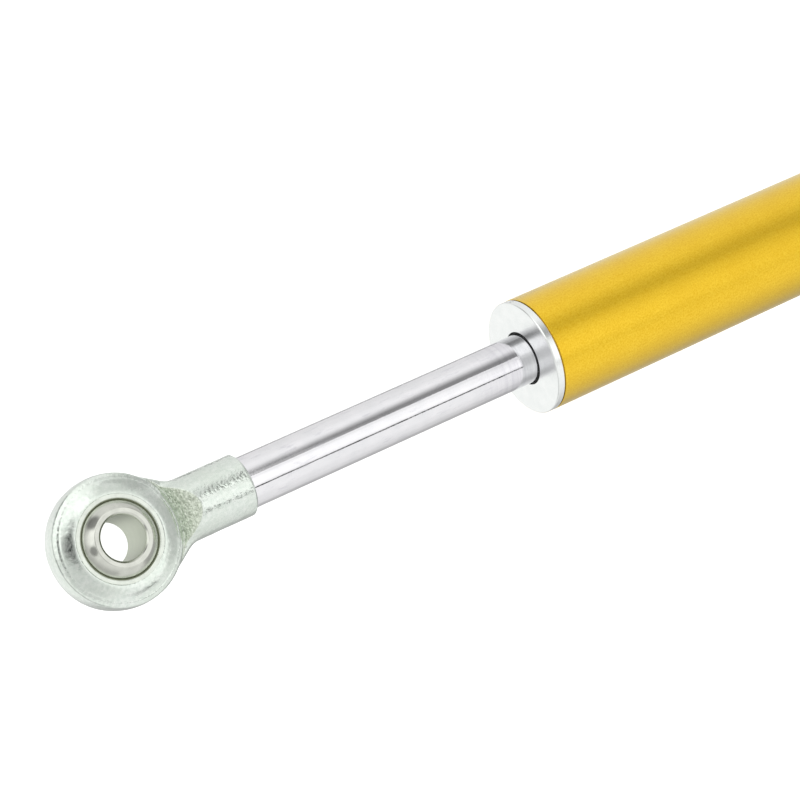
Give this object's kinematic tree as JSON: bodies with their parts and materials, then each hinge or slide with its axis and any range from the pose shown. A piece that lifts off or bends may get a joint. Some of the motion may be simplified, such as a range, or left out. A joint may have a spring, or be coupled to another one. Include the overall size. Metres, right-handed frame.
{
  "type": "motorcycle steering damper",
  "caption": "Linear hydraulic steering damper: a chromed through rod with a spherical rod end slides in a gold tube, with a click adjuster at the far end.",
  "frame": {"origin": "centre of the ball in the rod end", "axes": "+X along the damper from the eye to the adjuster, +Z along the bore of the eye, +Y across"},
  "size_m": [0.2995, 0.0296, 0.0274],
  "materials": {
    "gold_anodised": "satin anodised, fine bead-blast grain",
    "machined_aluminium": "turned, bare, fine lathe rings",
    "hard_chrome": "ground and polished hard chrome",
    "zinc_plate": "bright zinc over a forged surface",
    "race_steel": "turned, zinc plated",
    "ball_steel": "ground and lapped",
    "plain_steel": "bright",
    "black_rubber": "satin nitrile",
    "seal_rubber": "satin polyurethane",
    "stop_rubber": "cast polyurethane",
    "bush_bronze": "sintered bronze with a low friction lining",
    "band_plastic": "filled PTFE",
    "liner_plastic": "woven PTFE",
    "brass": "turned"
  },
  "bodies": {
    "cylinder": {"tube": "gold_anodised", "front_cap": "machined_aluminium", "rear_cap": "machined_aluminium", "front_wiper": "black_rubber", "rear_wiper": "black_rubber", "front_rod_seal": "seal_rubber", "rear_rod_seal": "seal_rubber", "front_bush": "bush_bronze", "rear_bush": "bush_bronze", "front_cap_oring": "black_rubber", "rear_cap_oring": "black_rubber", "front_bump_stop": "stop_rubber", "rear_bump_stop": "stop_rubber"},
    "band": {"piston_band": "band_plastic"},
    "rod": {"damper_rod": "hard_chrome", "piston": "machined_aluminium", "piston_circlips": "plain_steel", "band_energiser": "black_rubber", "needle_seat": "brass", "rod_end_housing": "zinc_plate", "race_insert": "race_steel", "adjuster_collar": "machined_aluminium", "collar_grub_screw": "plain_steel", "stem_seal": "black_rubber", "detent_springs": "plain_steel"},
    "liner": {"race_liner": "liner_plastic"},
    "ball": {"swivel_ball": "ball_steel"},
    "knob": {"adjuster_knob": "gold_anodised", "knob_screw": "plain_steel", "adjuster_stem": "plain_steel"},
    "needle": {"metering_needle": "brass"},
    "clicker": {"detent_balls": "ball_steel"}
  },
  "joints": [
    {"name": "rod_slide", "type": "slide", "parent": "cylinder", "child": "band", "axis": [1, 0, 0], "range_m": [0, 0.075]},
    {"name": "rod_turn", "type": "hinge", "parent": "band", "child": "rod", "pos_m": [0.1442, 0, 0], "axis": [1, 0, 0], "continuous": true},
    {"name": "ball_spin", "type": "hinge", "parent": "rod", "child": "liner", "pos_m": [0, 0, 0], "axis": [0, 0, 1], "continuous": true},
    {"name": "ball_tilt", "type": "hinge", "parent": "liner", "child": "ball", "pos_m": [0, 0, 0], "axis": [0, 1, 0], "range_deg": [-13, 13]},
    {"name": "knob_turn", "type": "hinge", "parent": "rod", "child": "knob", "pos_m": [0.2727, 0, 0], "axis": [1, 0, 0], "range_deg": [0, 320]},
    {"name": "needle_slide", "type": "slide", "parent": "rod", "child": "needle", "axis": [1, 0, 0], "range_m": [-0.0008, 0]},
    {"name": "click_slide", "type": "slide", "parent": "rod", "child": "clicker", "axis": [1, 0, 0], "range_m": [0, 0.0003], "stiffness_N_per_m": 200, "springref_m": 0.004}
  ],
  "couplings": [
    {"joint": "needle_slide", "follows": "knob_turn", "m_per_rad": -0.00012732}
  ]
}
